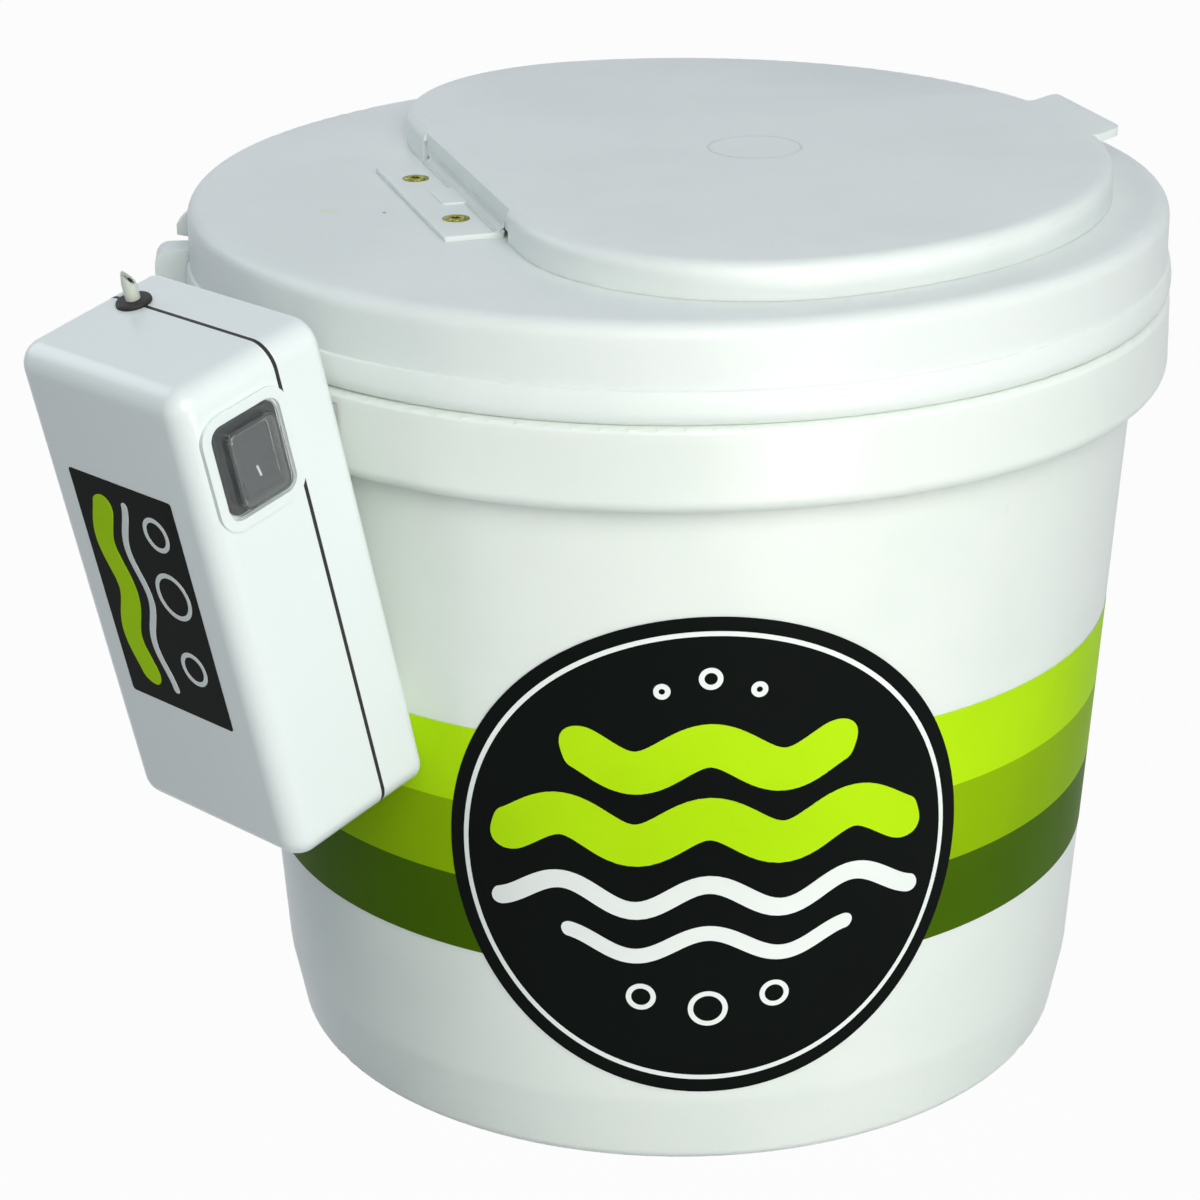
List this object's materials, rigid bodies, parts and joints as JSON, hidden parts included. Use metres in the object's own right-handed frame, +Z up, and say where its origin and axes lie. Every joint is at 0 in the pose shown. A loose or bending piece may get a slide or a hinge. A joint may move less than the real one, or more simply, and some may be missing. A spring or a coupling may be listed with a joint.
{
  "type": "aerated bait bucket",
  "caption": "Foam-lined round bait pail with a press-on lid, a flip-up D-shaped hatch, a wire bail and a battery air pump hung on the collar.",
  "frame": {"origin": "centre of the pail's flat underside, on the table, on the axis of the pail", "axes": "+Z up along the pail's axis; -Y is the front, with the pump at the front left (-X, -Y)"},
  "size_m": [0.3392, 0.3524, 0.2881],
  "materials": {
    "pail_white": "satin",
    "foam_white": "matte",
    "lid_white": "satin",
    "grip_white": "satin",
    "case_white": "gloss",
    "gasket_black": "matte",
    "diaphragm_black": "matte",
    "switch_black": "satin",
    "cover_clear": "gloss",
    "nipple_natural": "satin",
    "chassis_black": "matte",
    "works_nylon": "satin",
    "bracket_steel": "satin",
    "wire_steel": "satin",
    "rivet_steel": "satin",
    "screw_steel": "satin",
    "motor_steel": "satin",
    "contact_nickel": "polished",
    "cell_can": "satin",
    "rivet_brass": "satin"
  },
  "bodies": {
    "bucket": {"pail": "pail_white", "foam_liner": "foam_white", "pump_bracket": "bracket_steel", "bracket_rivets": "rivet_steel"},
    "lid": {"lid": "lid_white", "hinge_leaf": "lid_white", "hinge_rivets": "rivet_brass"},
    "hatch": {"hatch": "lid_white"},
    "bail": {"bail_wire": "wire_steel", "bail_grip": "grip_white"},
    "pump": {"pump_front_shell": "case_white", "pump_back_shell": "case_white", "case_gasket": "gasket_black", "case_screws": "screw_steel", "pump_clip": "case_white", "clip_screws": "screw_steel", "switch_housing": "switch_black", "switch_cover": "cover_clear", "outlet_grommet": "gasket_black", "air_nipple": "nipple_natural", "cell_left": "cell_can", "cell_right": "cell_can", "contact_bridge": "contact_nickel", "contact_plus": "contact_nickel", "contact_minus": "contact_nickel", "chassis": "chassis_black", "motor": "motor_steel", "drive_arm": "works_nylon", "diaphragm": "diaphragm_black", "pump_head": "works_nylon"},
    "rocker": {"switch_rocker": "switch_black"},
    "rotor": {"motor_shaft": "motor_steel", "eccentric": "rivet_brass"}
  },
  "joints": [
    {"name": "lid_lift", "type": "slide", "parent": "bucket", "child": "lid", "axis": [0, 0, 1], "range_m": [0, 0.06]},
    {"name": "hatch_hinge", "type": "hinge", "parent": "lid", "child": "hatch", "pos_m": [-0.06486, -0.02107, 0.277], "axis": [0.309, -0.9511, 0], "range_deg": [0, 88]},
    {"name": "bail_swing", "type": "hinge", "parent": "bucket", "child": "bail", "pos_m": [0, 0, 0.233], "axis": [-0.9511, -0.309, 0], "range_deg": [-168, 0]},
    {"name": "pump_lift", "type": "slide", "parent": "bucket", "child": "pump", "axis": [-0.1607, -0.1693, 0.9724], "range_m": [0, 0.045]},
    {"name": "switch_rocker_tilt", "type": "hinge", "parent": "pump", "child": "rocker", "pos_m": [-0.11441, -0.1714, 0.24437], "axis": [0.6693, 0.7053, 0.2334], "range_deg": [0, 14]},
    {"name": "motor_spin", "type": "hinge", "parent": "pump", "child": "rotor", "pos_m": [-0.13014, -0.13714, 0.21103], "axis": [0.7254, -0.6884, 0], "continuous": true}
  ]
}
